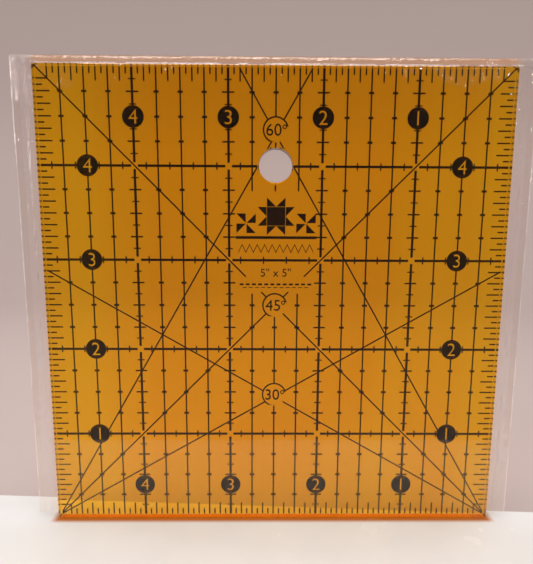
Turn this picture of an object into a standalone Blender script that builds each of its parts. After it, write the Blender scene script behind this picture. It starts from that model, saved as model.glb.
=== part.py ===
"""A 5 inch square quilting ruler in its clear film sleeve.

Metres, +Z up. The ruler stands upright on its bottom edge: X runs along that edge, Z up the
plate, and the reading face looks towards -Y. The print is on the rear face and is read through
the plate. The sleeve is a film bag, closed by a fold over the top edge and open at the bottom,
so it lifts straight off along +Z.
"""

import math

import bmesh
import bpy

MM = 0.001
INCH = 25.4 * MM

# Plate: 5 inches square in 1/8 inch acrylic, with cut edges.
INCHES = 5
SIDE = INCHES * INCH
THICKNESS = INCH / 8
CORNER_RADIUS = 0.6 * MM
ARRIS = 0.15 * MM
CORNER_STEPS = 6

# Hang hole, on the upright centre line.
HOLE_RADIUS = 4.5 * MM
HOLE_HEIGHT = 4 * INCH
HOLE_STEPS = 64

# Print: a skin of ink on the rear face.
INK = 0.05 * MM
INK_GAP = 0.02 * MM
EDGE_MARGIN = 0.03 * INCH
INCH_LINE = 0.024 * INCH
QUARTER_LINE = 0.012 * INCH
ANGLE_LINE = 0.012 * INCH
DISC_RADIUS = 0.114 * INCH
RING_RADIUS = 0.135 * INCH
RING_STROKE = 0.012 * INCH
HOLE_CLEARANCE = 0.025 * INCH
DISC_STEPS = 32
ANGLES = (30, 45, 60)
QUARTERS = 4 * INCHES
MIDDLE_QUARTER = QUARTERS // 2
TOP_DISC_HEIGHT = 4.5 * INCH
BOTTOM_DISC_HEIGHT = 0.375 * INCH
SIDE_DISC_INSET = 0.5 * INCH
MOTIF_TOP = 3.74 * INCH
MOTIF_BOTTOM = 2.63 * INCH
MOTIF_DIAGONAL_TOP = 2.82 * INCH

# Sleeve: two film panels, a weld down each side and a fold over the top.
FILM = 0.15 * MM
FILM_ROOM = 1.0 * MM
FILM_GAP = 0.1 * MM
WING_START = 64.3 * MM
WELD_START = 67.6 * MM
SLEEVE_HALF_WIDTH = 69.6 * MM
MOUTH_HEIGHT = 0.8 * MM
FOLD_START = SIDE + 0.35 * MM
SLEEVE_TOP = SIDE + 2.4 * MM
FOLD_STEPS = 16


def clear_scene():
    for obj in list(bpy.data.objects):
        bpy.data.objects.remove(obj, do_unlink=True)


def material(name, color, roughness, alpha=1.0, transmission=0.0):
    mat = bpy.data.materials.new(name)
    mat.use_nodes = True
    shader = mat.node_tree.nodes["Principled BSDF"]
    shader.inputs["Base Color"].default_value = (*color, 1.0)
    shader.inputs["Roughness"].default_value = roughness
    shader.inputs["Metallic"].default_value = 0.0
    shader.inputs["Transmission Weight"].default_value = transmission
    shader.inputs["Alpha"].default_value = alpha
    return mat


def prism(name, outline, place, low, high, mat):
    """A closed solid: outline is a loop of 2D points, and place(a, b, c) puts one at depth c."""
    bm = bmesh.new()
    face = bm.faces.new([bm.verts.new(place(a, b, low)) for a, b in outline])
    depth = [after - before for after, before in zip(place(0, 0, high), place(0, 0, low))]
    far = bmesh.ops.extrude_face_region(bm, geom=[face], use_keep_orig=True)
    moved = [v for v in far["geom"] if isinstance(v, bmesh.types.BMVert)]
    bmesh.ops.translate(bm, verts=moved, vec=depth)
    bmesh.ops.recalc_face_normals(bm, faces=bm.faces)
    mesh = bpy.data.meshes.new(name)
    bm.to_mesh(mesh)
    bm.free()
    obj = bpy.data.objects.new(name, mesh)
    obj.data.materials.append(mat)
    bpy.context.scene.collection.objects.link(obj)
    return obj


def in_plate_plane(x, z, y):
    return (x, y, z)


def across_plate(x, y, z):
    return (x, y, z)


def along_top_edge(y, z, x):
    return (x, y, z)


def circle(x, z, radius, steps):
    turns = [2 * math.pi * i / steps for i in range(steps)]
    return [(x + radius * math.cos(t), z + radius * math.sin(t)) for t in turns]


def rounded_square(half, radius, steps):
    """Corner arcs of a square of half-side half, standing on z = 0."""
    points = []
    for corner in range(4):
        middle = math.pi / 4 + corner * math.pi / 2
        cx = math.copysign(half - radius, math.cos(middle))
        cz = half + math.copysign(half - radius, math.sin(middle))
        for i in range(steps + 1):
            turn = corner * math.pi / 2 + i / steps * math.pi / 2
            points.append((cx + radius * math.cos(turn), cz + radius * math.sin(turn)))
    return points


def bar(start, end, width):
    """The outline of a straight line of ink."""
    run_x, run_z = end[0] - start[0], end[1] - start[1]
    length = math.hypot(run_x, run_z)
    side_x, side_z = -run_z / length * width / 2, run_x / length * width / 2
    return [
        (start[0] + side_x, start[1] + side_z),
        (start[0] - side_x, start[1] - side_z),
        (end[0] - side_x, end[1] - side_z),
        (end[0] + side_x, end[1] + side_z),
    ]


def helper(obj, group):
    """Marks a cutter or an operand, which shapes another object and is no piece itself."""
    obj.hide_render = True
    obj.display_type = "WIRE"
    bpy.context.scene.collection.objects.unlink(obj)
    group.objects.link(obj)


def boolean(obj, operation, group):
    mod = obj.modifiers.new(operation.title(), "BOOLEAN")
    mod.operation = operation
    mod.solver = "EXACT"
    mod.operand_type = "COLLECTION"
    mod.collection = group


def helper_group(name):
    group = bpy.data.collections.new(name)
    bpy.context.scene.collection.children.link(group)
    return group


def make_plate(mat):
    outline = rounded_square(SIDE / 2, CORNER_RADIUS, CORNER_STEPS)
    plate = prism("ruler_plate", outline, in_plate_plane, -THICKNESS / 2, THICKNESS / 2, mat)
    cutters = helper_group("plate_cutters")
    hole = circle(0, HOLE_HEIGHT, HOLE_RADIUS, HOLE_STEPS)
    helper(prism("hang_hole_cutter", hole, in_plate_plane, -THICKNESS, THICKNESS, mat), cutters)
    boolean(plate, "DIFFERENCE", cutters)
    bevel = plate.modifiers.new("Arris", "BEVEL")
    bevel.width = ARRIS
    bevel.segments = 1
    bevel.limit_method = "ANGLE"
    bevel.angle_limit = math.radians(60)


def upright_lines():
    """Upright ink lines as (x, low, high, width): one each 1/4 inch, heavier on the inches."""
    low, high = EDGE_MARGIN, SIDE - EDGE_MARGIN
    for quarter in range(1, QUARTERS):
        x = quarter * INCH / 4 - SIDE / 2
        width = INCH_LINE if quarter % 4 == 0 else QUARTER_LINE
        from_middle = abs(quarter - MIDDLE_QUARTER)
        if from_middle == 1:
            yield x, low, MOTIF_BOTTOM, width
            yield x, MOTIF_TOP, high, width
        elif from_middle == 0:
            yield x, low, ring_height(45), width
            yield x, ring_height(60), high, width
        else:
            yield x, low, high, width


def ring_height(degrees):
    """Where the two lines at this angle, one from each bottom corner, cross."""
    return SIDE / 2 * math.tan(math.radians(degrees))


def angle_lines():
    """Ink lines at 30, 45 and 60 degrees from the bottom corners, as (start, end)."""
    for side in (-1, 1):
        for degrees in ANGLES:
            slope = math.tan(math.radians(degrees))
            run = min(SIDE, SIDE / slope) - EDGE_MARGIN
            start = EDGE_MARGIN
            spans = [(start, run)]
            if degrees == 45:
                spans = [(start, SIDE / 2), (MOTIF_DIAGONAL_TOP, run)]
            for low, high in spans:
                ends = [(side * (SIDE / 2 - r), r * slope) for r in (low, high)]
                yield ends[0], ends[1]


def disc_places():
    """Centres of the number discs, four along each edge."""
    for inches in range(1, INCHES):
        along = inches * INCH
        yield along - SIDE / 2, TOP_DISC_HEIGHT
        yield along - SIDE / 2, BOTTOM_DISC_HEIGHT
        yield SIDE_DISC_INSET - SIDE / 2, along
        yield SIDE / 2 - SIDE_DISC_INSET, along


def make_print(mat):
    low = THICKNESS / 2 + INK_GAP
    high = low + INK
    inked = helper_group("print_lines")
    bare = helper_group("print_gaps")

    def ink(name, outline):
        return prism(name, outline, in_plate_plane, low, high, mat)

    reach = SIDE / 2 - EDGE_MARGIN
    level = [((-reach, k * INCH), (reach, k * INCH)) for k in range(1, INCHES)]
    grid = ink("printed_grid", bar(*level[0], INCH_LINE))
    for start, end in level[1:]:
        helper(ink("level_line", bar(start, end, INCH_LINE)), inked)
    for x, bottom, top, width in upright_lines():
        helper(ink("upright_line", bar((x, bottom), (x, top), width)), inked)
    for start, end in angle_lines():
        helper(ink("angle_line", bar(start, end, ANGLE_LINE)), inked)
    for x, z in disc_places():
        helper(ink("number_disc", circle(x, z, DISC_RADIUS, DISC_STEPS)), inked)
    for degrees in ANGLES:
        z = ring_height(degrees)
        helper(ink("angle_ring", circle(0, z, RING_RADIUS, DISC_STEPS)), inked)
        inside = circle(0, z, RING_RADIUS - RING_STROKE, DISC_STEPS)
        gap = prism("ring_inside", inside, in_plate_plane, low - INK, high + INK, mat)
        helper(gap, bare)
    around = circle(0, HOLE_HEIGHT, HOLE_RADIUS + HOLE_CLEARANCE, HOLE_STEPS)
    helper(prism("hole_rim", around, in_plate_plane, low - INK, high + INK, mat), bare)
    boolean(grid, "UNION", inked)
    boolean(grid, "DIFFERENCE", bare)


def make_film_panel(name, facing, mat):
    """A flat film panel; facing is -1 in front of the plate and 1 behind it."""
    near = facing * (THICKNESS / 2 + FILM_ROOM)
    far = near + facing * FILM
    half = WING_START - FILM_GAP
    outline = [(-half, MOUTH_HEIGHT), (half, MOUTH_HEIGHT)]
    outline += [(half, FOLD_START - FILM_GAP), (-half, FOLD_START - FILM_GAP)]
    prism(name, outline, in_plate_plane, min(near, far), max(near, far), mat)


def make_side_seam(name, side, mat):
    """The two films brought together beyond the plate's edge and welded along a flat strip."""
    inner = THICKNESS / 2 + FILM_ROOM
    outer = inner + FILM
    wing_end = WELD_START - FILM
    right_half = [
        (WING_START, -outer),
        (WELD_START, -FILM),
        (SLEEVE_HALF_WIDTH, -FILM),
        (SLEEVE_HALF_WIDTH, FILM),
        (WELD_START, FILM),
        (WING_START, outer),
        (WING_START, inner),
        (wing_end, 0),
        (WING_START, -inner),
    ]
    outline = [(side * x, y) for x, y in right_half]
    prism(name, outline, across_plate, MOUTH_HEIGHT, SLEEVE_TOP - FILM, mat)


def make_top_fold(mat):
    """The film's turn over the top edge of the plate, from the front panel to the rear one."""
    inner = THICKNESS / 2 + FILM_ROOM
    rise = SLEEVE_TOP - FOLD_START

    def turn(half, height, steps):
        return [(half * math.cos(t), FOLD_START + height * math.sin(t)) for t in steps]

    forward = [math.pi * i / FOLD_STEPS for i in range(FOLD_STEPS + 1)]
    outline = turn(inner + FILM, rise, forward)
    outline += turn(inner, rise - FILM, reversed(forward))
    half = WING_START - FILM_GAP
    prism("sleeve_top_fold", outline, along_top_edge, -half, half, mat)


def main():
    clear_scene()
    acrylic = material("tinted_acrylic", (0.85, 0.42, 0.01), 0.05, alpha=0.75, transmission=0.6)
    ink = material("black_ink", (0.015, 0.013, 0.01), 0.45)
    film = material("clear_film", (0.93, 0.93, 0.93), 0.08, alpha=0.25, transmission=0.9)
    weld = material("welded_film", (0.9, 0.88, 0.88), 0.2, alpha=0.35, transmission=0.8)
    make_plate(acrylic)
    make_print(ink)
    make_film_panel("sleeve_front_film", -1, film)
    make_film_panel("sleeve_rear_film", 1, film)
    make_side_seam("sleeve_left_seam", -1, weld)
    make_side_seam("sleeve_right_seam", 1, weld)
    make_top_fold(film)


main()
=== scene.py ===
"""Looks for a 5 inch quilting ruler in its clear film sleeve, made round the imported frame.

Places on the ruler are given as (u, v) in inches: u from its left edge, v up from its bottom edge,
as the reader in front of it sees them. Everything else is in metres in the frame's own axes.
"""

import math

import bmesh
import bpy
import numpy as np
from mathutils import Matrix, Vector


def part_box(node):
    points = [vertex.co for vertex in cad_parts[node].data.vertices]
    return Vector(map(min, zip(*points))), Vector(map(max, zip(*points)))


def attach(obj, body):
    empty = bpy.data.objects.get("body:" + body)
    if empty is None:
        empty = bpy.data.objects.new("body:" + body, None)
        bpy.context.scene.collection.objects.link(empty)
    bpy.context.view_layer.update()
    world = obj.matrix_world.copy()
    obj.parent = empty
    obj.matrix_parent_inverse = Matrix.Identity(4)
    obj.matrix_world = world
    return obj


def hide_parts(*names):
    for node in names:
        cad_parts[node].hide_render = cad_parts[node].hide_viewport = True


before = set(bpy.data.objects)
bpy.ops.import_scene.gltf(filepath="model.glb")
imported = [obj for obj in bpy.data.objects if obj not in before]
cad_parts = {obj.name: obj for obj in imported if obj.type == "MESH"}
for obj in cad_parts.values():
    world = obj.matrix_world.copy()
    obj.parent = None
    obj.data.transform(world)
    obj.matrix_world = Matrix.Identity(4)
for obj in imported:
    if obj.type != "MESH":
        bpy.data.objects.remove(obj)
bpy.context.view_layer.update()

MM = 0.001
PLATE_LOW, PLATE_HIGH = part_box("ruler_plate")
SIDE = PLATE_HIGH.x - PLATE_LOW.x
INCHES = 5
MIDDLE = INCHES / 2
INCH = SIDE / INCHES
FRONT, BACK = PLATE_LOW.y, PLATE_HIGH.y
SEAM_LOW, SEAM_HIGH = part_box("sleeve_right_seam")
FOLD_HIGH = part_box("sleeve_top_fold")[1]

# Plate
CORNER_RADIUS = 0.6 * MM
CORNER_STEPS = 8
ARRIS = 0.25 * MM
REAR_ARRIS = 0.04 * MM
HOLE_AT = (MIDDLE, 4.0)
HOLE_RADIUS = 4.5 * MM
HOLE_STEPS = 128
FACE, EDGE, FOOT = range(3)  # slots of its three materials

# Ink: its distance from the rear face and its thickness
INK_GAP = 0.008 * MM
INK = 0.02 * MM

# Print, in inches. Barbs and dashes are the cross ticks on a line, as (length, width).
EDGE_MARGIN = 0.006
INCH_LINE = 0.0265
QUARTER_LINE = 0.0165
ANGLE_LINE = 0.0155
CORNER_GAP = 0.018  # an angle line starts this far in from its corner
TICK = 0.0155
SHORT_TICK = 0.073
LONG_TICK = 0.146
QUARTER_BARB = (0.13, 0.0165)
EIGHTH_BARB = (0.078, 0.0135)
LEVEL_BARB = (0.077, 0.015)
DASH = (0.056, 0.024)
CROSSING_GAP = 0.035
SHORTEST_STRETCH = 0.004
DISC_RADIUS = 0.114
DISC_OVERLAP = 0.008
DIGIT_HEIGHT = 0.146
TOP_DISC_ROW = 4.5
BOTTOM_DISC_ROW = 0.375
SIDE_DISC_INSET = 0.5
RING_RADIUS = 0.1385
RING_STROKE = 0.0165
RING_DIGIT_HEIGHT = 0.122
RING_DIGIT_SHIFT = 0.0195  # to the left, which leaves room for the degree sign
RING_LIFTS = ((60, 0.046), (45, 0.0), (30, 0.026))  # how far each ring sits above its crossing
DEGREE_AT = (0.094, 0.03)
DEGREE_RADIUS = 0.0235
DEGREE_STROKE = 0.011
HOLE_RIM = 0.195
MOTIF_BOTTOM, MOTIF_TOP = 2.63, 3.74
MOTIF_CORNERS = [(MIDDLE - 0.235, 2.735), (MIDDLE + 0.235, 2.735)]
MOTIF_CORNER_GAP = 0.12

# Film
FILM_TOP = FOLD_HIGH.z - 0.05 * MM
FILM_MOUTH = SEAM_LOW.z
FILM_HALF = SEAM_HIGH.x
FILM_CLEARANCE = 0.28 * MM
WELD_START = FILM_HALF - 2.0 * MM
WELD_GAP = 0.03 * MM
TENT_START = SIDE / 2 + 0.25 * MM  # from here the two panels run together towards the weld

# Stage, light and camera
BOARD_THICKNESS = 4 * MM
BOARD_OUTLINE = [(-0.42, -0.055), (0.42, -0.055), (0.42, -0.0186), (-0.42, 0.0299)]
BOWL_MIDDLE, BOWL_FLOOR, BOWL_SWEEP, BOWL_HEIGHT = 0.2, 0.50, 0.35, 1.0
BOWL_STEPS, SWEEP_STEPS = 96, 16
LIGHT_COLOUR = (1, 0.97, 0.94)
LENS = 30.5
LENS_SHIFT = 0.03237
CAMERA_AT = (-0.00351, -0.13275, 0.08433)
CAMERA_TURN = (81.73, -0.265, -0.488)


def circle(centre, radius, steps):
    turns = [2 * math.pi * i / steps for i in range(steps)]
    return [(centre[0] + radius * math.cos(t), centre[1] + radius * math.sin(t)) for t in turns]


def on_plate(u, v, y):
    return Vector((PLATE_LOW.x + u * INCH, y, PLATE_LOW.z + v * INCH))


def new_object(name, mesh, materials):
    for mat in materials:
        mesh.materials.append(mat)
    obj = bpy.data.objects.new(name, mesh)
    bpy.context.scene.collection.objects.link(obj)
    return obj


def mesh_from(name, bm):
    mesh = bpy.data.meshes.new(name)
    bm.to_mesh(mesh)
    bm.free()
    return mesh


def finish_piece(name, bm, materials, body, smooth=None):
    """Turns a bmesh into a piece that rides on a body. smooth is the sharpest angle that stays soft."""
    mesh = mesh_from(name, bm)
    if smooth is not None:
        mesh.shade_smooth()
        mesh.set_sharp_from_angle(angle=math.radians(smooth))
    obj = new_object(name, mesh, materials)
    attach(obj, body)
    return obj


# ---------------------------------------------------------------- materials


class Nodes:
    """A material's node tree, with short ways to add nodes and join them.

    add takes a node's settings and socket values by name, with _ in place of a space.
    """

    def __init__(self, name):
        self.material = bpy.data.materials.new(name)
        self.material.use_nodes = True
        self.tree = self.material.node_tree
        self.tree.nodes.clear()
        self.output = self.add("OutputMaterial")

    def add(self, kind, **settings):
        node = self.tree.nodes.new("ShaderNode" + kind)
        for key, value in settings.items():
            if hasattr(node, key):
                setattr(node, key, value)
            else:
                node.inputs[key.replace("_", " ")].default_value = value
        return node

    def link(self, source, target):
        self.tree.links.new(source, target)

    def surface(self, shader):
        self.link(shader, self.output.inputs["Surface"])
        return self.material

    def mix_shaders(self, share, first, second):
        node = self.add("MixShader")
        if isinstance(share, float):
            node.inputs[0].default_value = share
        else:
            self.link(share, node.inputs[0])
        self.link(first, node.inputs[1])
        self.link(second, node.inputs[2])
        return node.outputs[0]

    def noise(self, scale, detail=3.0, stretch=(1.0, 1.0, 1.0)):
        """Noise over the piece's own coordinates in millimetres; stretch scales the three axes."""
        mapping = self.add("Mapping", Scale=[s / MM for s in stretch])
        self.link(self.add("TexCoord").outputs["Object"], mapping.inputs["Vector"])
        noise = self.add("TexNoise", Scale=scale, Detail=detail)
        self.link(mapping.outputs[0], noise.inputs["Vector"])
        return noise.outputs["Fac"]

    def remap(self, value, low, high, to_low, to_high):
        node = self.add("MapRange")
        for socket, number in zip(range(1, 5), (low, high, to_low, to_high)):
            node.inputs[socket].default_value = number
        self.link(value, node.inputs[0])
        return node.outputs[0]

    def maths(self, operation, a, b=None):
        node = self.add("Math", operation=operation)
        for socket, value in zip(node.inputs, (a, b)):
            if value is None:
                continue
            if isinstance(value, (int, float)):
                socket.default_value = value
            else:
                self.link(value, socket)
        return node.outputs[0]

    def colours(self, share, stops):
        ramp = self.add("ValToRGB")
        while len(ramp.color_ramp.elements) < len(stops):
            ramp.color_ramp.elements.new(0.5)
        for element, (place, colour) in zip(ramp.color_ramp.elements, stops):
            element.position = place
            element.color = (*colour, 1)
        self.link(share, ramp.inputs[0])
        return ramp.outputs[0]

    def bump(self, height, distance):
        node = self.add("Bump", Strength=1.0, Distance=distance)
        self.link(height, node.inputs["Height"])
        return node.outputs[0]

    def axes(self):
        """The piece's own X, Y and Z as three sockets."""
        parts = self.add("SeparateXYZ")
        self.link(self.add("TexCoord").outputs["Object"], parts.inputs[0])
        return parts.outputs

    def surface_with_clear_shadow(self, shader, tint):
        """Uses the shader, but lets light through to what lies in its shadow."""
        clear = self.add("BsdfTransparent", Color=(*tint, 1))
        shadow = self.add("LightPath").outputs["Is Shadow Ray"]
        return self.surface(self.mix_shaders(shadow, shader, clear.outputs[0]))


ACRYLIC_IOR = 1.49
DEEP_TINT = (1.0, 0.45, 0.0003)
# painted light: the paler tint that the plate's face takes near its edges
EDGE_PAINTED_LIGHT_TINT = (1.0, 0.55, 0.003)
EDGE_TINT = (1.0, 0.50, 0.002)
FOOT_TINT = (1.0, 0.40, 0.01)
# painted glow: the plate's face gives off a faint light near its edges
FACE_PAINTED_GLOW = (1.0, 0.42, 0.01)
# painted glow of the plate's sawn foot, which is no lamp
FOOT_PAINTED_GLOW = (1.0, 0.36, 0.03)
PLATE_SHADOW = (0.48, 0.36, 0.05)
DEEP_INK = (0.004, 0.0035, 0.003)
WORN_INK = (0.009, 0.008, 0.007)


def nearness_to_light(nodes):
    """Mask for the painted edge light: about 0 in the upper middle of the plate, 1 at its side and bottom
    edges.
    """
    x, _, z = nodes.axes()
    half = SIDE / 2
    across = nodes.maths("MULTIPLY", nodes.maths("ABSOLUTE", x), 1 / half)
    down = nodes.maths("SUBTRACT", 1.0, nodes.maths("MULTIPLY", z, 1 / half))
    streaks = nodes.remap(nodes.noise(0.05, 3.0, stretch=(1.0, 1.0, 0.15)), 0.3, 0.7, -0.22, 0.22)
    return nodes.maths("ADD", nodes.maths("MAXIMUM", across, down), streaks)


def acrylic_face():
    """Polished tinted sheet with painted light: paler towards the edges that let light in, and a faint
    painted glow there.
    """
    nodes = Nodes("tinted_acrylic_face")
    share = nearness_to_light(nodes)
    glass = nodes.add("BsdfPrincipled", Transmission_Weight=1.0, Roughness=0.0, IOR=ACRYLIC_IOR,
                      Specular_IOR_Level=0.1, Emission_Color=(*FACE_PAINTED_GLOW, 1))
    # painted edge light in the base colour, and a painted glow near the edges
    nodes.link(nodes.colours(share, [(0.5, DEEP_TINT), (1.0, EDGE_PAINTED_LIGHT_TINT)]), glass.inputs["Base Color"])
    nodes.link(nodes.remap(share, 0.55, 1.1, 0.0, 0.010), glass.inputs["Emission Strength"])
    nodes.link(nodes.bump(nodes.noise(0.22), 0.004 * MM), glass.inputs["Normal"])
    return nodes.surface_with_clear_shadow(glass.outputs[0], PLATE_SHADOW)


def acrylic_edge():
    """Flame-polished cut edge: clear, with faint ripples left by the saw."""
    nodes = Nodes("tinted_acrylic_edge")
    marks = nodes.noise(0.8, 2.0, stretch=(1.0, 0.12, 1.0))
    glass = nodes.add("BsdfPrincipled", Base_Color=(*EDGE_TINT, 1), Transmission_Weight=1.0,
                      IOR=ACRYLIC_IOR)
    nodes.link(nodes.remap(marks, 0.3, 0.7, 0.10, 0.22), glass.inputs["Roughness"])
    nodes.link(nodes.bump(marks, 0.03 * MM), glass.inputs["Normal"])
    return nodes.surface(glass.outputs[0])


def acrylic_foot():
    """Sawn bottom edge: matt, with a painted orange glow that stands in for the light the plate gathers
    there.
    """
    nodes = Nodes("tinted_acrylic_foot")
    marks = nodes.noise(1.6, 2.0, stretch=(1.0, 0.12, 1.0))
    glass = nodes.add("BsdfPrincipled", Base_Color=(*FOOT_TINT, 1), Transmission_Weight=0.4,
                      IOR=ACRYLIC_IOR, Emission_Color=(*FOOT_PAINTED_GLOW, 1), Emission_Strength=0.45)
    nodes.link(nodes.remap(marks, 0.3, 0.7, 0.3, 0.5), glass.inputs["Roughness"])
    nodes.link(nodes.bump(marks, 0.02 * MM), glass.inputs["Normal"])
    return nodes.surface(glass.outputs[0])


def black_ink():
    """Screen-printed ink: nearly black, a little uneven and satin."""
    nodes = Nodes("black_ink")
    grain = nodes.noise(2.2, 4.0)
    paint = nodes.add("BsdfPrincipled", Specular_IOR_Level=0.1)
    nodes.link(nodes.colours(grain, [(0.3, DEEP_INK), (0.7, WORN_INK)]), paint.inputs["Base Color"])
    nodes.link(nodes.remap(grain, 0.3, 0.7, 0.38, 0.55), paint.inputs["Roughness"])
    nodes.link(nodes.bump(grain, 0.004 * MM), paint.inputs["Normal"])
    return nodes.surface(paint.outputs[0])


FILM_CLEAR = (1.0, 0.992, 0.985)
# painted light: the film's tint where the plate's glow is painted on it
FILM_PAINTED_GLOW_TINT = (1.0, 0.87, 0.72)
FILM_MILK = (0.9, 0.88, 0.87)
FILM_SHADOW = (0.85, 0.85, 0.85)
# painted glow of the plate on the film
FILM_PAINTED_GLOW = (1.0, 0.42, 0.28)
# painted highlight along the film's cut and folded edges
FILM_PAINTED_RIM_HIGHLIGHT = (1.0, 0.96, 0.94)
# strength of the painted glows on the film
FILM_PAINTED_GLOW_STRENGTH = 0.05
FILM_IOR = (1.25, 1.6)  # over the plate, and in the margins


def blush(nodes):
    """Mask for the plate's light painted on the film: fully over the plate's top edge, a little beside it.
    """
    x, _, z = nodes.axes()
    out = nodes.maths("SUBTRACT", nodes.maths("ABSOLUTE", x), SIDE / 2)
    beside = nodes.remap(out, 0.0, 1.8 * MM, 0.42, 0.06)
    on_margin = nodes.maths("GREATER_THAN", out, 0.0)
    above = nodes.remap(z, SIDE - 0.1 * MM, SIDE + 0.5 * MM, 0.0, 1.0)
    above = nodes.maths("MULTIPLY", above, nodes.remap(out, -0.5 * MM, 0.8 * MM, 1.0, 0.0))
    return nodes.maths("MAXIMUM", above, nodes.maths("MULTIPLY", beside, on_margin))


def rim(nodes):
    """1 along the film's cut and folded edges outside the plate, where a pale painted highlight stands in
    for the light they catch.
    """
    x, _, z = nodes.axes()
    out = nodes.maths("ABSOLUTE", x)
    at_side = nodes.maths("GREATER_THAN", out, FILM_HALF - 0.3 * MM)
    at_top = nodes.maths("GREATER_THAN", z, FILM_TOP - 0.3 * MM)
    on_margin = nodes.maths("GREATER_THAN", out, SIDE / 2 + 0.3 * MM)
    broken = nodes.remap(nodes.noise(0.12, 2.0), 0.4, 0.6, 0.25, 1.0)
    edge = nodes.maths("MAXIMUM", at_side, nodes.maths("MULTIPLY", at_top, on_margin))
    return nodes.maths("MULTIPLY", edge, broken)


def film_reach(nodes):
    """1 at the plate's side and top edges, less over the plate and more in the margins."""
    x, _, z = nodes.axes()
    across = nodes.maths("MULTIPLY", nodes.maths("ABSOLUTE", x), 2 / SIDE)
    up = nodes.maths("MULTIPLY", z, 1 / SIDE)
    return nodes.maths("MAXIMUM", across, up)


def crinkles(nodes, reach, height):
    """Fine crinkles: the film lies nearly flat on the plate and is rough round its edges."""
    loose = nodes.remap(reach, 0.90, 1.02, 0.3, 5.0)
    crumple = nodes.noise(0.22, 4.0, stretch=(1.0, 1.0, 0.6))
    fine = nodes.maths("MULTIPLY", nodes.noise(0.9, 2.0, stretch=(1.0, 1.0, 0.25)), 0.35)
    return nodes.bump(nodes.maths("MULTIPLY", nodes.maths("ADD", crumple, fine), loose), height)


def film_sheet(nodes, colour, haze):
    """What is seen through the film: clear and a touch milky, with painted glow from the plate and a
    painted rim highlight.
    """
    clear = nodes.add("BsdfTransparent")
    # the film's clear tint turns to the painted glow tint near the plate's edges
    nodes.link(nodes.colours(colour, [(0.0, FILM_CLEAR), (1.0, FILM_PAINTED_GLOW_TINT)]), clear.inputs["Color"])
    milky = nodes.add("BsdfPrincipled", Base_Color=(*FILM_MILK, 1), Roughness=0.6)
    # a painted highlight along the film's edges, given off as a faint glow
    edge = rim(nodes)
    glow = nodes.add("Emission")
    nodes.link(nodes.colours(edge, [(0.0, FILM_PAINTED_GLOW), (0.3, FILM_PAINTED_RIM_HIGHLIGHT)]), glow.inputs["Color"])
    parts = [nodes.maths("MULTIPLY", share, FILM_PAINTED_GLOW_STRENGTH) for share in (colour, edge)]
    nodes.link(nodes.maths("ADD", *parts), glow.inputs["Strength"])
    lit = nodes.add("AddShader")
    nodes.link(nodes.mix_shaders(haze, clear.outputs[0], milky.outputs[0]), lit.inputs[0])
    nodes.link(glow.outputs[0], lit.inputs[1])
    return lit.outputs[0]


def film_reflectance(nodes, reach, normal):
    """Share of light that the film reflects, the same from both sides, and less over its fold.

    The Fresnel node turns its IOR over on back faces, so there it is given 1 / IOR.
    """
    behind = nodes.add("NewGeometry").outputs["Backfacing"]
    ior = nodes.remap(reach, 0.98, 1.01, *FILM_IOR)
    turned_over = nodes.maths("SUBTRACT", nodes.maths("DIVIDE", 1.0, ior), ior)
    fresnel = nodes.add("Fresnel")
    nodes.link(nodes.maths("ADD", ior, nodes.maths("MULTIPLY", behind, turned_over)), fresnel.inputs["IOR"])
    nodes.link(normal, fresnel.inputs["Normal"])
    below_fold = nodes.remap(nodes.axes()[2], FILM_TOP - 0.9 * MM, FILM_TOP - 0.2 * MM, 1.0, 0.15)
    return nodes.maths("MULTIPLY", fresnel.outputs[0], below_fold)


def film_material(name, haze, wrinkle):
    """Clear plastic film, which reflects by angle. wrinkle is the height of its crinkles."""
    nodes = Nodes(name)
    reach = film_reach(nodes)
    normal = crinkles(nodes, reach, wrinkle)
    gloss = nodes.add("BsdfGlossy", Roughness=0.05)
    nodes.link(normal, gloss.inputs["Normal"])
    sheet = film_sheet(nodes, blush(nodes), haze)
    seen = nodes.mix_shaders(film_reflectance(nodes, reach, normal), sheet, gloss.outputs[0])
    return nodes.surface_with_clear_shadow(seen, FILM_SHADOW)


# the paper's colour where shade is painted on it, high up and in front of the object
PAPER_PAINTED_SHADE = (0.28, 0.235, 0.225)
PAPER_PALE = (0.515, 0.425, 0.412)
LAMINATE_DARK = (0.79, 0.785, 0.785)
LAMINATE_PALE = (0.84, 0.835, 0.835)
# painted light: the orange that the plate's foot throws on the board
BOARD_PAINTED_FOOT_LIGHT = (0.50, 0.15, 0.03)


def backdrop_material():
    """Studio paper, warm grey behind the object, with painted shade: darker high up and in front of it."""
    nodes = Nodes("studio_paper")
    _, y, z = nodes.axes()
    # painted shade: the paper darkens towards the front and with height
    depth = nodes.remap(y, -0.15, 0.03, 0.0, 1.0)
    high = nodes.remap(z, 0.2, 0.5, 0.0, 0.52)
    share = nodes.maths("SUBTRACT", depth, high)
    paper = nodes.add("BsdfPrincipled", Roughness=0.7)
    nodes.link(nodes.colours(share, [(0.0, PAPER_PAINTED_SHADE), (1.0, PAPER_PALE)]), paper.inputs["Base Color"])
    return nodes.surface(paper.outputs[0])


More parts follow.
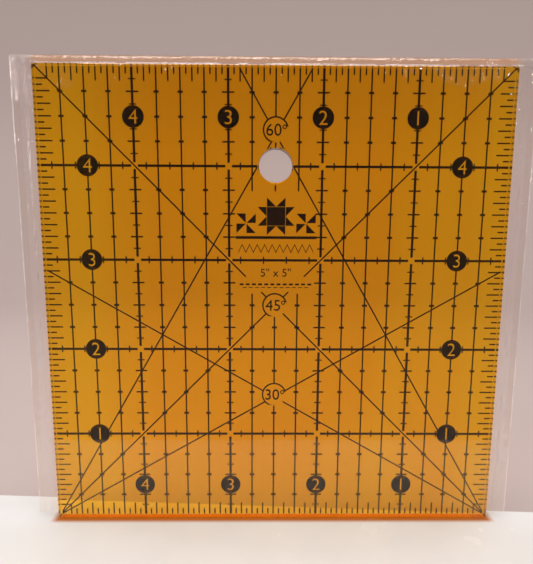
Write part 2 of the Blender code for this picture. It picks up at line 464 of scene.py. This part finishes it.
def board_material():
    """White laminate board, softly glossy, with the plate's orange light painted along its foot."""
    nodes = Nodes("white_laminate")
    x, y, _ = nodes.axes()
    # where the painted orange light lies: a strip in front of the plate's foot, as wide as the plate
    near = nodes.remap(y, FRONT - 2.6 * MM, FRONT - 1.1 * MM, 0.0, 1.0)
    near = nodes.maths("MULTIPLY", near, nodes.maths("LESS_THAN", y, BACK))
    under = nodes.remap(nodes.maths("ABSOLUTE", x), SIDE / 2, SIDE / 2 + 2 * MM, 1.0, 0.0)
    grain = nodes.noise(0.05)
    laminate = nodes.colours(grain, [(0.3, LAMINATE_DARK), (0.7, LAMINATE_PALE)])
    blend = nodes.add("Mix", data_type="RGBA")
    share, plain, lit = (blend.inputs[i] for i in (0, 6, 7))  # the sockets that an RGBA mix uses
    nodes.link(nodes.maths("MULTIPLY", near, under), share)
    nodes.link(laminate, plain)
    lit.default_value = (*BOARD_PAINTED_FOOT_LIGHT, 1)
    paint = nodes.add("BsdfPrincipled")
    nodes.link(blend.outputs[2], paint.inputs["Base Color"])
    nodes.link(nodes.remap(grain, 0.3, 0.7, 0.16, 0.28), paint.inputs["Roughness"])
    return nodes.surface(paint.outputs[0])


# ---------------------------------------------------------------- the plate


def rounded_square(inset):
    """Outline of the plate as (x, z), shrunk by inset on every side."""
    half, centre = SIDE / 2 - inset, SIDE / 2
    radius = CORNER_RADIUS - inset
    points = []
    for corner in range(4):
        start = corner * math.pi / 2
        cx = (half - radius) * (1 if corner in (0, 3) else -1)
        cz = centre + (half - radius) * (1 if corner in (0, 1) else -1)
        for i in range(CORNER_STEPS + 1):
            turn = start + i / CORNER_STEPS * math.pi / 2
            points.append((cx + radius * math.cos(turn), cz + radius * math.sin(turn)))
    return points


def plate_loops(bm, shape):
    """Four loops through the thickness: shape(inset) gives each, with the arrises drawn in."""
    places = [(ARRIS, FRONT), (0, FRONT + ARRIS), (0, BACK - REAR_ARRIS), (REAR_ARRIS, BACK)]
    return [[bm.verts.new((x, y, z)) for x, z in shape(inset)] for inset, y in places]


def loop_edges(bm, verts):
    return [bm.edges.new((verts[i - 1], verts[i])) for i in range(len(verts))]


def wall(bm, loops):
    """Joins the loops. The arrises are as clear as the faces, and the band between them is the cut edge."""
    for near, far, slot in zip(loops, loops[1:], (FACE, EDGE, FACE)):
        for i in range(len(near)):
            face = bm.faces.new((near[i - 1], near[i], far[i], far[i - 1]))
            on_bottom = max(vert.co.z for vert in face.verts) < PLATE_LOW.z + ARRIS / 10
            face.material_index = FOOT if slot == EDGE and on_bottom else slot


def make_plate(materials):
    bm = bmesh.new()
    outer = plate_loops(bm, rounded_square)
    hole_centre = on_plate(*HOLE_AT, 0)

    def hole(inset):
        return circle((hole_centre.x, hole_centre.z), HOLE_RADIUS + inset, HOLE_STEPS)

    inner = plate_loops(bm, hole)
    for end in (0, 3):
        edges = loop_edges(bm, outer[end]) + loop_edges(bm, inner[end])
        bmesh.ops.triangle_fill(bm, use_beauty=True, edges=edges)
    wall(bm, outer)
    wall(bm, inner)
    bmesh.ops.recalc_face_normals(bm, faces=bm.faces)
    plate = finish_piece("acrylic_plate", bm, materials, "ruler", 40)
    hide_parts("ruler_plate")


# ---------------------------------------------------------------- the print


def slab(bm, outline):
    """A thin closed block of ink on the rear face, from an outline in (u, v)."""
    low = [bm.verts.new(on_plate(u, v, BACK + INK_GAP)) for u, v in outline]
    high = [bm.verts.new(on_plate(u, v, BACK + INK_GAP + INK)) for u, v in outline]
    bm.faces.new(low)
    bm.faces.new(high[::-1])
    for i in range(len(low)):
        bm.faces.new((low[i], low[i - 1], high[i - 1], high[i]))


def straight_run(start, end):
    """Direction and length of the way from start to end."""
    along = Vector((end[0] - start[0], end[1] - start[1]))
    return along.normalized(), along.length


def barbed_outline(start, end, width, barbs=()):
    """Outline of a straight line with cross ticks. A barb is (distance along, length, width)."""
    along, length = straight_run(start, end)
    side = Vector((-along.y, along.x))
    edge = [(0, width / 2)]
    for place, reach, thick in barbs:
        edge += [(place - thick / 2, width / 2), (place - thick / 2, reach / 2)]
        edge += [(place + thick / 2, reach / 2), (place + thick / 2, width / 2)]
    edge.append((length, width / 2))
    foot = Vector(start)
    left = [foot + along * d + side * s for d, s in edge]
    right = [foot + along * d - side * s for d, s in reversed(edge)]
    return [tuple(p) for p in left + right]


def open_spans(start, end, circles):
    """Stretches of a line that lie outside the circles, as distances from its start."""
    along, length = straight_run(start, end)
    blocked = []
    for cu, cv, radius in circles:
        to_centre = Vector((cu - start[0], cv - start[1]))
        nearest = to_centre.dot(along)
        off = (to_centre - along * nearest).length
        if off < radius:
            half = math.sqrt(radius * radius - off * off)
            blocked.append((nearest - half, nearest + half))
    spans, reached = [], 0.0
    for low, high in sorted(blocked):
        if low > reached and low < length:
            spans.append((reached, low))
        reached = max(reached, high)
    if reached < length:
        spans.append((reached, length))
    return [(low, high) for low, high in spans if high - low > SHORTEST_STRETCH]


def inked_line(bm, start, end, width, circles=(), barbs=()):
    """A line of ink, broken where it meets the circles, with whichever barbs stay on it."""
    along, _ = straight_run(start, end)
    foot = Vector(start)
    for low, high in open_spans(start, end, circles):
        kept = [(d - low, reach, thick) for d, reach, thick in barbs if low + thick < d < high - thick]
        slab(bm, barbed_outline(foot + along * low, foot + along * high, width, kept))


# Number discs as (u, v, label), counted from the right along the top and bottom and up both sides
DISCS = [(k, row, str(INCHES - k)) for row in (TOP_DISC_ROW, BOTTOM_DISC_ROW) for k in range(1, INCHES)]
DISCS += [(u, k, str(k)) for u in (SIDE_DISC_INSET, INCHES - SIDE_DISC_INSET) for k in range(1, INCHES)]
RINGS = [(MIDDLE, MIDDLE * math.tan(math.radians(angle)) + lift, angle) for angle, lift in RING_LIFTS]

# Circles that break a line which runs into them, as (u, v, radius)
DISC_BREAKS = [(u, v, DISC_RADIUS - DISC_OVERLAP) for u, v, _ in DISCS]
RING_BREAKS = [(u, v, RING_RADIUS - RING_STROKE / 2) for u, v, _ in RINGS]
BREAKS = DISC_BREAKS + RING_BREAKS + [(*HOLE_AT, HOLE_RIM)]
CROSSINGS = [(i, j, CROSSING_GAP) for i in range(1, INCHES) for j in range(1, INCHES)]
MOTIF_BREAKS = [(*corner, MOTIF_CORNER_GAP) for corner in MOTIF_CORNERS]


def print_inch_lines(ink):
    """Lines on the inches. Upright ones have a barb at each eighth, level ones at the odd eighths."""
    bm = bmesh.new()
    low, high = EDGE_MARGIN, INCHES - EDGE_MARGIN
    eighths = range(1, 8 * INCHES)
    upright = [(n / 8 - low, *(EIGHTH_BARB if n % 2 else QUARTER_BARB)) for n in eighths if n % 8]
    level = [(n / 8 - low, *LEVEL_BARB) for n in eighths if n % 2]
    for k in range(1, INCHES):
        inked_line(bm, (k, low), (k, high), INCH_LINE, BREAKS + CROSSINGS, upright)
        inked_line(bm, (low, k), (high, k), INCH_LINE, BREAKS + CROSSINGS, level)
    return finish_piece("print_inch_lines", bm, [ink], "ruler")


def print_quarter_lines(ink):
    """Upright lines on the quarters between the inches, with a dash at each quarter."""
    bm = bmesh.new()
    quarters = [n / 4 for n in range(1, 4 * INCHES) if n % 4]
    low, high = EDGE_MARGIN, INCHES - EDGE_MARGIN
    for u in quarters:
        crosses_motif = abs(u - MIDDLE) < 0.3
        stretches = [(low, MOTIF_BOTTOM), (MOTIF_TOP, high)] if crosses_motif else [(low, high)]
        for bottom, top in stretches:
            dashes = [(v - bottom, *DASH) for v in quarters if bottom < v < top]
            inked_line(bm, (u, bottom), (u, top), QUARTER_LINE, BREAKS, dashes)
    return finish_piece("print_quarter_lines", bm, [ink], "ruler")


def print_edge_ticks(ink):
    """Sixteenths along all four edges; lines or longer ticks already mark the rest."""
    bm = bmesh.new()

    def tick(along, reach, to_plate):
        end = min(reach, along, INCHES - along)
        inked_line(bm, to_plate(along, EDGE_MARGIN), to_plate(along, end), TICK)

    for n in range(2, 16 * INCHES - 1):
        along = n / 16
        reach = SHORT_TICK if n % 2 else LONG_TICK
        if n % 4:
            tick(along, reach, lambda a, d: (a, d))
            tick(along, reach, lambda a, d: (a, INCHES - d))
        if n % 16:
            tick(along, reach, lambda a, d: (d, a))
            tick(along, reach, lambda a, d: (INCHES - d, a))
    return finish_piece("print_edge_ticks", bm, [ink], "ruler")


def print_angle_lines(ink):
    """Lines at 30, 45 and 60 degrees from both bottom corners. The 45s are open round the motif."""
    bm = bmesh.new()
    for angle, _ in reversed(RING_LIFTS):
        slope = math.tan(math.radians(angle))
        run = min(INCHES, INCHES / slope) - EDGE_MARGIN
        breaks = BREAKS + (MOTIF_BREAKS if angle == 45 else [])
        for corner, way in ((0, 1), (INCHES, -1)):
            start = (corner + way * CORNER_GAP, CORNER_GAP * slope)
            end = (corner + way * run, run * slope)
            inked_line(bm, start, end, ANGLE_LINE, breaks)
    return finish_piece("print_angle_lines", bm, [ink], "ruler")


# Filled curves are drawn this much larger than the print, because small ones fill badly.
PRESS_SCALE = 100
BEZIER_CIRCLE = 0.5523  # handle length of a four-point circle, over its radius


def glyph_curve(text, height, centre):
    """Flat outlines of a few characters as a filled curve, height inches tall on the plate."""
    font = bpy.data.curves.new("glyphs", "FONT")
    font.body = text
    font.resolution_u = 6
    maker = bpy.data.objects.new("glyphs", font)
    bpy.context.scene.collection.objects.link(maker)
    bpy.context.view_layer.update()
    curve = maker.to_curve(bpy.context.evaluated_depsgraph_get()).copy()
    bpy.data.objects.remove(maker, do_unlink=True)
    points = [p.co for s in curve.splines for p in s.bezier_points]
    low = Vector((min(p.x for p in points), min(p.y for p in points)))
    high = Vector((max(p.x for p in points), max(p.y for p in points)))
    to_origin = Matrix.Translation(-(low + high).to_3d() / 2)
    grow = Matrix.Scale(PRESS_SCALE * height / (high.y - low.y), 4)
    curve.transform(Matrix.Translation(PRESS_SCALE * Vector(centre).to_3d()) @ grow @ to_origin)
    return curve


def add_round(curve, centre, radius):
    """Adds a circle to a filled curve; what lies inside it is cut out of it."""
    spline = curve.splines.new("BEZIER")
    spline.bezier_points.add(3)
    radius *= PRESS_SCALE
    handle = radius * BEZIER_CIRCLE
    for i, point in enumerate(spline.bezier_points):
        turn = i * math.pi / 2
        out, on = Vector((math.cos(turn), math.sin(turn))), Vector((-math.sin(turn), math.cos(turn)))
        at = PRESS_SCALE * Vector(centre) + out * radius
        point.co = (*at, 0)
        point.handle_left = (*(at - on * handle), 0)
        point.handle_right = (*(at + on * handle), 0)
    spline.use_cyclic_u = True
    spline.resolution_u = 16


def press(bm, curve):
    """Fills a curve drawn in (u, v) and adds it to the print as a thin closed solid."""
    curve.dimensions = "2D"
    curve.fill_mode = "BOTH"
    curve.extrude = 0.5
    maker = bpy.data.objects.new("press", curve)
    bpy.context.scene.collection.objects.link(maker)
    bpy.context.view_layer.update()
    mesh = bpy.data.meshes.new_from_object(maker.evaluated_get(bpy.context.evaluated_depsgraph_get()))
    bpy.data.objects.remove(maker, do_unlink=True)
    for vert in mesh.vertices:
        u, v, depth = vert.co
        vert.co = on_plate(u / PRESS_SCALE, v / PRESS_SCALE, BACK + INK_GAP + INK * (0.5 - depth))
    before = len(bm.verts)
    bm.from_mesh(mesh)
    bm.verts.ensure_lookup_table()
    bmesh.ops.remove_doubles(bm, verts=bm.verts[before:], dist=1e-7)
    bpy.data.meshes.remove(mesh)


def print_number_discs(ink):
    """Black discs with their numbers left open."""
    bm = bmesh.new()
    for u, v, label in DISCS:
        curve = glyph_curve(label, DIGIT_HEIGHT, (u, v))
        add_round(curve, (u, v), DISC_RADIUS)
        press(bm, curve)
    return finish_piece("print_number_discs", bm, [ink], "ruler")


def add_ring(curve, centre, radius, stroke):
    add_round(curve, centre, radius)
    add_round(curve, centre, radius - stroke)


def print_angle_rings(ink):
    """A ring on each crossing of the angle lines, round its angle and a degree sign."""
    bm = bmesh.new()
    for u, v, angle in RINGS:
        curve = glyph_curve(str(angle), RING_DIGIT_HEIGHT, (u - RING_DIGIT_SHIFT, v))
        add_ring(curve, (u, v), RING_RADIUS, RING_STROKE)
        add_ring(curve, (u + DEGREE_AT[0], v + DEGREE_AT[1]), DEGREE_RADIUS, DEGREE_STROKE)
        press(bm, curve)
    return finish_piece("print_angle_rings", bm, [ink], "ruler")


def turned_slabs(bm, centre, points):
    """The same patch four times round a centre."""
    cu, cv = centre
    for turn in range(4):
        c, s = math.cos(turn * math.pi / 2), math.sin(turn * math.pi / 2)
        slab(bm, [(cu + c * x - s * y, cv + s * x + c * y) for x, y in points])


def star_block(bm, centre, size):
    """A patchwork star: a square with two points out of each side."""
    cu, cv = centre
    q = size / 4
    slab(bm, [(cu - q, cv - q), (cu + q, cv - q), (cu + q, cv + q), (cu - q, cv + q)])
    foot = -q * 1.04
    for way in (-1, 1):
        turned_slabs(bm, centre, [(0, foot), (way * q, foot), (way * q, -2 * q)])


def pinwheel_block(bm, centre, size):
    """A patchwork pinwheel: four half-square triangles round a point."""
    half, gap = size / 2, 0.004
    turned_slabs(bm, centre, [(gap, gap), (half, gap), (half, half)])


def zigzag(bm, low, high, pitch, height, level, width):
    """A row of zigzag stitches as one bent line of ink."""
    count = round((high - low) / pitch)
    corners = [(low + pitch * i, level + height * (0.5 if i % 2 else -0.5)) for i in range(count + 1)]
    above = [(u, v + width) for u, v in corners]
    slab(bm, corners + above[::-1])


def running_stitch(bm, low, high, level, width, pitch=0.068, stitch=0.64):
    """A row of dashes, each of which fills the middle stitch share of its pitch."""
    for i in range(int((high - low) / pitch)):
        start = low + pitch * (i + (1 - stitch) / 2)
        slab(bm, barbed_outline((start, level), (start + pitch * stitch, level), width))


def print_motif(ink):
    """Patchwork blocks over rows of stitches, and a plain mark of the ruler's size."""
    bm = bmesh.new()
    centre = MIDDLE + 0.01
    star_block(bm, (centre, 3.475), 0.40)
    for side in (-1, 1):
        pinwheel_block(bm, (centre + side * 0.325, 3.40), 0.21)
    slab(bm, [(2.07, 3.232), (2.95, 3.232), (2.95, 3.262), (2.07, 3.262)])
    zigzag(bm, 2.10, 2.92, pitch=0.041, height=0.085, level=3.12, width=0.017)
    running_stitch(bm, 2.10, 2.92, level=2.735, width=0.02)
    running_stitch(bm, 2.134, 2.886, level=2.70, width=0.008)
    press(bm, glyph_curve("5\" x 5\"", 0.09, (centre, 2.865)))
    return finish_piece("print_motif", bm, [ink], "ruler")


def make_print(ink):
    parts = [print_inch_lines, print_quarter_lines, print_edge_ticks, print_angle_lines]
    parts += [print_number_discs, print_angle_rings, print_motif]
    made = [part(ink) for part in parts]
    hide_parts("printed_grid")


# ---------------------------------------------------------------- the sleeve


# Creases pressed into the front panel: start and end in (u, v), width and height in millimetres.
FRONT_CREASES = [
    ((5.02, 5.02), (4.55, 4.50), 1.6, 0.30),
    ((5.00, 4.96), (4.20, 4.72), 1.8, 0.22),
    ((5.02, 4.90), (4.78, 4.25), 1.4, 0.30),
    ((4.98, 4.60), (4.70, 4.35), 1.3, 0.25),
    ((5.00, 4.20), (4.62, 3.95), 1.5, 0.25),
    ((4.99, 3.60), (4.70, 3.48), 1.4, 0.25),
    ((0.02, 4.60), (0.16, 4.05), 1.3, 0.25),
    ((0.03, 4.20), (0.22, 3.90), 1.4, 0.25),
    ((0.00, 5.00), (0.60, 4.55), 1.6, 0.18),
    ((0.90, 4.98), (1.25, 4.90), 1.2, 0.20),
    ((0.00, 0.02), (0.45, 0.40), 1.6, 0.20),
    ((5.00, 0.02), (4.60, 0.35), 1.6, 0.20),
    ((2.60, 4.99), (3.60, 4.90), 2.0, 0.12),
]
# Long folds down the side margins: distance from the plate's edge and height, in millimetres.
MARGIN_FOLDS = [(1.3, 0.16), (2.7, -0.14), (3.9, 0.12)]
FOLD_WIDTH = 0.45 * MM
WAVE_HEIGHT = 0.35 * MM


def crease_height(x, z, creases):
    """Height that the creases add at points x, z, in metres."""
    total = np.zeros_like(x)
    for start, end, width, height in creases:
        a, b = on_plate(*start, 0), on_plate(*end, 0)
        run = np.array([b.x - a.x, b.z - a.z])
        length = math.hypot(*run)
        share = ((x - a.x) * run[0] + (z - a.z) * run[1]) / length**2
        across = ((x - a.x) * run[1] - (z - a.z) * run[0]) / length
        taper = np.sin(np.pi * np.clip(share, 0, 1)) ** 0.5
        total += height * MM * taper * np.exp(-((across / (width * MM)) ** 2))
    return total


def waves(x, z, seed):
    """Slow undulation of a loosely held film, from 0 to about 1: five ripples, each its own way."""
    total = np.zeros_like(x)
    for n in range(5):
        turn = 2.4 * n + seed
        pitch = (46 - 6 * n) * MM
        total += np.sin((x * math.cos(turn) + z * math.sin(turn)) * 2 * math.pi / pitch + seed * n)
    return 0.5 + total / 10


def film_depth(x, z, creases, seed):
    """How far the film stands from the middle plane at x, z."""
    resting = (BACK - FRONT) / 2 + FILM_CLEARANCE
    full = resting + WAVE_HEIGHT * waves(x, z, seed) + crease_height(x, z, creases)
    beside = np.clip((WELD_START - np.abs(x)) / (WELD_START - TENT_START), 0, 1)
    rise = np.clip((z - SIDE) / (FILM_TOP - SIDE), 0, 1)
    depth = full * np.minimum(beside, np.sqrt(1 - rise**2))
    outside = np.abs(x) - SIDE / 2
    for place, height in MARGIN_FOLDS:
        ridge = np.exp(-(((outside - place * MM) / FOLD_WIDTH) ** 2))
        drift = 0.6 + 0.4 * np.sin(z / (17 * MM) + place * 3 + seed)
        depth += height * MM * ridge * drift * (np.abs(x) < WELD_START)
    return np.maximum(depth, WELD_GAP)


def film_grid():
    """Columns across and rows up the film, closer together in the margins and under the fold."""
    coarse, fine = 1.2, 0.4  # all in millimetres until the last step
    side, inner, loose = FILM_HALF / MM, 60, 122
    middle = np.arange(-inner, inner + 0.1, coarse)
    margin = np.arange(inner + fine, side, fine)
    columns = np.concatenate([[-side], -margin[::-1], middle, margin, [side]]) * MM
    low = np.arange(FILM_MOUTH / MM, loose, coarse)
    high = np.arange(loose + 0.2, SIDE / MM, fine)
    turn = np.linspace(0, np.pi / 2, 14)
    fold = SIDE / MM + (FILM_TOP - SIDE) / MM * np.sin(turn)
    rows = np.concatenate([low, high, fold]) * MM
    return columns, rows


def make_film(material):
    """One sheet, folded over the top of the plate and brought together at both side welds."""
    columns, rows = film_grid()
    x, z = np.meshgrid(columns, rows)
    front = film_depth(x, z, FRONT_CREASES, 0.7)
    rear_creases = [((INCHES - a[0], a[1]), (INCHES - b[0], b[1]), w, h) for a, b, w, h in FRONT_CREASES]
    rear = film_depth(x, z, rear_creases, 2.9)
    # The front panel runs up to the fold, and the rear one down from it.
    points = np.concatenate([np.stack([x, -front, z], -1), np.stack([x, rear, z], -1)[::-1][1:]])
    points[len(rows) - 1, :, 1] = 0
    tall, wide = points.shape[:2]
    index = np.arange(tall * wide).reshape(tall, wide)
    quads = np.stack([index[:-1, :-1], index[:-1, 1:], index[1:, 1:], index[1:, :-1]], -1)
    mesh = bpy.data.meshes.new("sleeve_film")
    mesh.from_pydata(points.reshape(-1, 3).tolist(), [], quads.reshape(-1, 4).tolist())
    mesh.shade_smooth()
    film = new_object("sleeve_film", mesh, [material])
    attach(film, "sleeve")
    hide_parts("sleeve_front_film", "sleeve_rear_film", "sleeve_top_fold")


def make_weld(name, side, material, node):
    """The flat welded strip down one side, with the faint ribs that a heat bar leaves."""
    bm = bmesh.new()
    across = np.linspace(WELD_START, FILM_HALF, 9)
    rows = []
    for z in np.linspace(FILM_MOUTH, FILM_TOP - 0.1 * MM, 220):
        rib = 0.02 * MM * math.sin(z / (0.9 * MM))
        rows.append([bm.verts.new((side * x, rib, z)) for x in across])
    for low, high in zip(rows, rows[1:]):
        for j in range(1, len(across)):
            bm.faces.new((low[j - 1], low[j], high[j], high[j - 1]))
    weld = finish_piece(name, bm, [material], "sleeve", 40)
    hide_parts(node)


def make_sleeve():
    make_film(film_material("clear_film", haze=0.002, wrinkle=0.25 * MM))
    weld = film_material("welded_film", haze=0.015, wrinkle=0.12 * MM)
    make_weld("sleeve_left_weld", -1, weld, "sleeve_left_seam")
    make_weld("sleeve_right_weld", 1, weld, "sleeve_right_seam")


# ---------------------------------------------------------------- stage, lights and camera


def stage_piece(name, bm, material):
    obj = new_object(name, mesh_from(name, bm), [material])
    return obj


def make_bowl():
    """A round studio bowl: a flat floor that turns up into a pale wall on every side."""
    profile = [(BOWL_MIDDLE, 0.0), (BOWL_FLOOR, 0.0)]
    for i in range(1, SWEEP_STEPS + 1):
        turn = i / SWEEP_STEPS * math.pi / 2
        profile.append((BOWL_FLOOR + BOWL_SWEEP * math.sin(turn), BOWL_SWEEP * (1 - math.cos(turn))))
    profile.append((BOWL_FLOOR + BOWL_SWEEP, BOWL_HEIGHT))
    bm = bmesh.new()
    rings = [[bm.verts.new((x, y, z - BOARD_THICKNESS)) for x, y in circle((0, 0), radius, BOWL_STEPS)]
             for radius, z in profile]
    bm.faces.new(rings[0])
    for low, high in zip(rings, rings[1:]):
        for i in range(BOWL_STEPS):
            bm.faces.new((low[i], low[i - 1], high[i - 1], high[i]))
    bowl = stage_piece("studio_bowl", bm, backdrop_material())
    bowl.data.shade_smooth()


def make_board():
    """The board that the ruler stands on; its back edge runs close behind the ruler."""
    bm = bmesh.new()
    top = [bm.verts.new((x, y, 0)) for x, y in BOARD_OUTLINE]
    foot = [bm.verts.new((x, y, -BOARD_THICKNESS)) for x, y in BOARD_OUTLINE]
    bm.faces.new(top)
    bm.faces.new(foot[::-1])
    for i in range(len(top)):
        bm.faces.new((top[i - 1], foot[i - 1], foot[i], top[i]))
    stage_piece("white_board", bm, board_material())


def area_light(name, at, towards, size, watts):
    light = bpy.data.lights.new(name, "AREA")
    light.shape = "RECTANGLE"
    light.size, light.size_y = size
    light.energy = watts
    light.color = LIGHT_COLOUR
    obj = bpy.data.objects.new(name, light)
    obj.location = at
    obj.rotation_euler = (Vector(towards) - Vector(at)).to_track_quat("-Z", "Y").to_euler()
    bpy.context.scene.collection.objects.link(obj)


def make_lights():
    area_light("overhead", at=(0, 0.10, 0.95), towards=(0, 0.55, 0.1), size=(0.9, 0.5), watts=7.6)
    area_light("front_left", at=(-0.30, -0.35, 0.60), towards=(0, 0, 0.06), size=(0.10, 0.10), watts=0.35)
    area_light("left_strip", at=(-0.55, 0.12, 0.22), towards=(0, 0, 0.07), size=(0.05, 0.3), watts=0.3)
    area_light("over_board", at=(0, -0.10, 0.70), towards=(0, -0.06, 0), size=(0.5, 0.2), watts=1.78)
    for side in (-1, 1):
        area_light("glint", at=(side * 0.33, -0.50, 0.31), towards=(side * 0.06, 0, 0.12),
                   size=(0.03, 0.03), watts=0.35)


def make_world():
    world = bpy.data.worlds.new("studio_air")
    world.use_nodes = True
    background = world.node_tree.nodes["Background"]
    background.inputs["Color"].default_value = (0.95, 0.93, 0.92, 1)
    background.inputs["Strength"].default_value = 0.05
    bpy.context.scene.world = world


def make_camera():
    data = bpy.data.cameras.new("camera")
    data.lens = LENS
    data.shift_y = LENS_SHIFT
    data.clip_start = 0.005
    camera = bpy.data.objects.new("camera", data)
    camera.location = CAMERA_AT
    camera.rotation_euler = [math.radians(angle) for angle in CAMERA_TURN]
    bpy.context.scene.collection.objects.link(camera)
    bpy.context.scene.camera = camera


make_camera()
make_plate([acrylic_face(), acrylic_edge(), acrylic_foot()])
make_print(black_ink())
make_sleeve()
make_bowl()
make_board()
make_lights()
make_world()
bpy.context.scene.view_settings.view_transform = "Standard"
